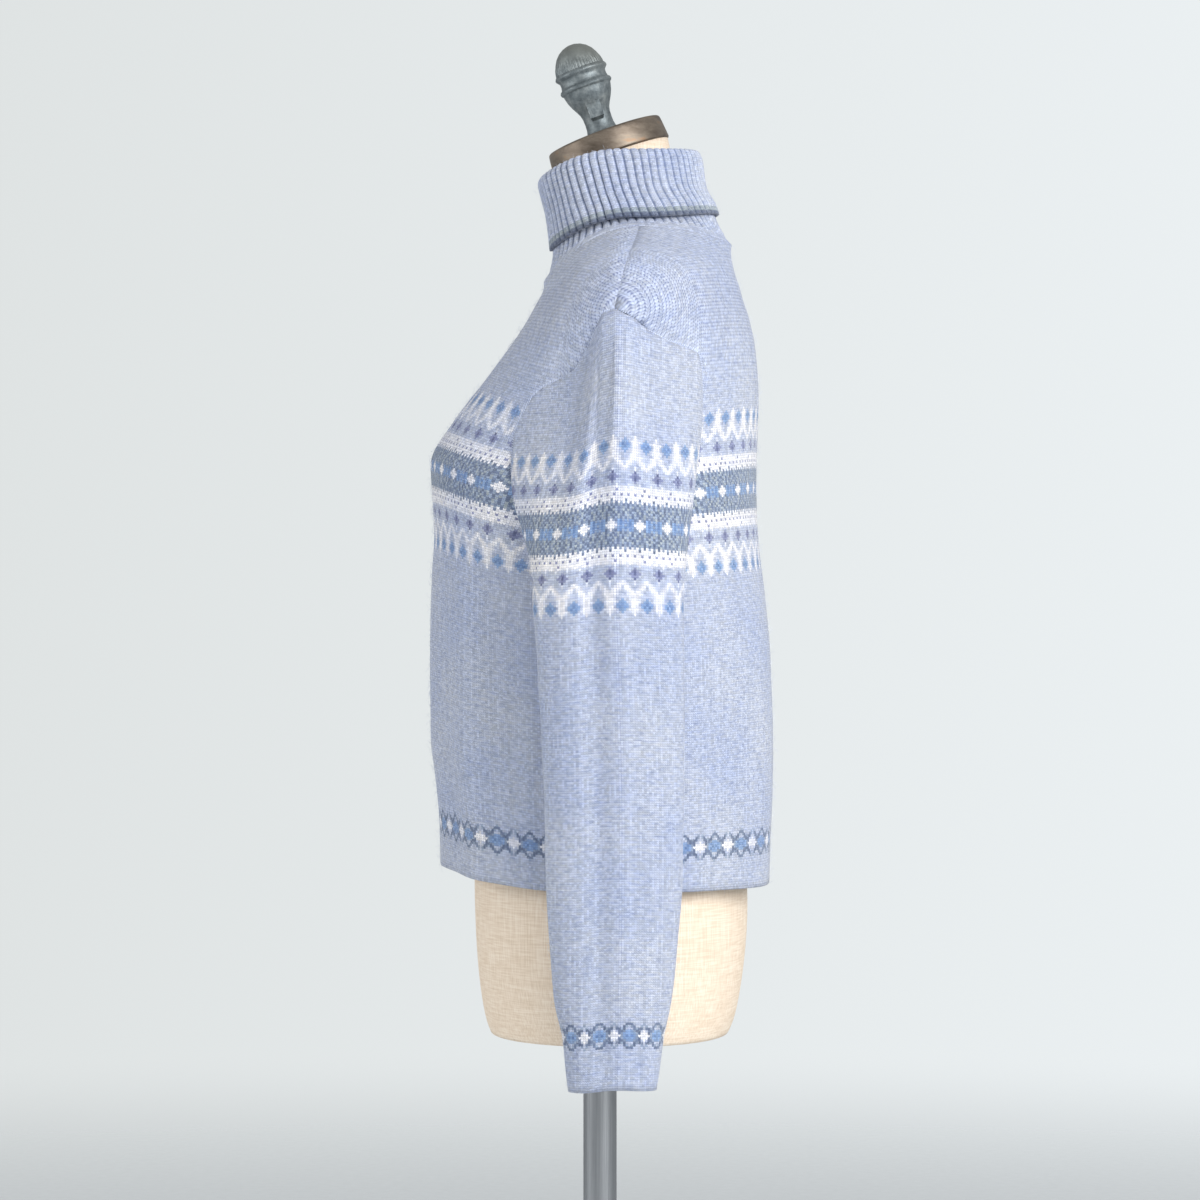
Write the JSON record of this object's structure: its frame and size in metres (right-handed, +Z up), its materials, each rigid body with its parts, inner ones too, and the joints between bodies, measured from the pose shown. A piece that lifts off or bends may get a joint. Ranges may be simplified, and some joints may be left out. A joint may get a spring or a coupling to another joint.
{
  "type": "fair isle turtleneck sweater on a limbless dress form with a round stand",
  "caption": "Long-sleeved knitted turtleneck sweater with coloured pattern bands, worn by a limbless dress form on a pole and round base.",
  "frame": {"origin": "centre of the underside of the round base, on the floor", "axes": "+Z up along the stand's pole; the sweater's front faces -Y; the wearer's left sleeve is at +X"},
  "size_m": [0.5034, 0.38, 1.4194],
  "materials": {
    "lavender_knit": "soft brushed wool blend, heathered lavender stocking stitch with blue, slate, purple and white pattern bands",
    "linen": "natural linen stretched over a papier-mache shell",
    "bronzed_wood": "turned wood, dark bronze paint rubbed at the edge, satin",
    "cast_pewter": "sand-cast, dull grey, lightly worn",
    "steel": "drawn tube, dark satin",
    "cast_iron": "black enamel over cast iron, satin"
  },
  "bodies": {
    "root": {"front": "lavender_knit", "back": "lavender_knit", "sleeve_left": "lavender_knit", "sleeve_right": "lavender_knit", "collar": "lavender_knit", "form_torso": "linen", "form_cap": "bronzed_wood", "form_finial": "cast_pewter", "stand_pole": "steel", "stand_base": "cast_iron"}
  },
  "joints": []
}
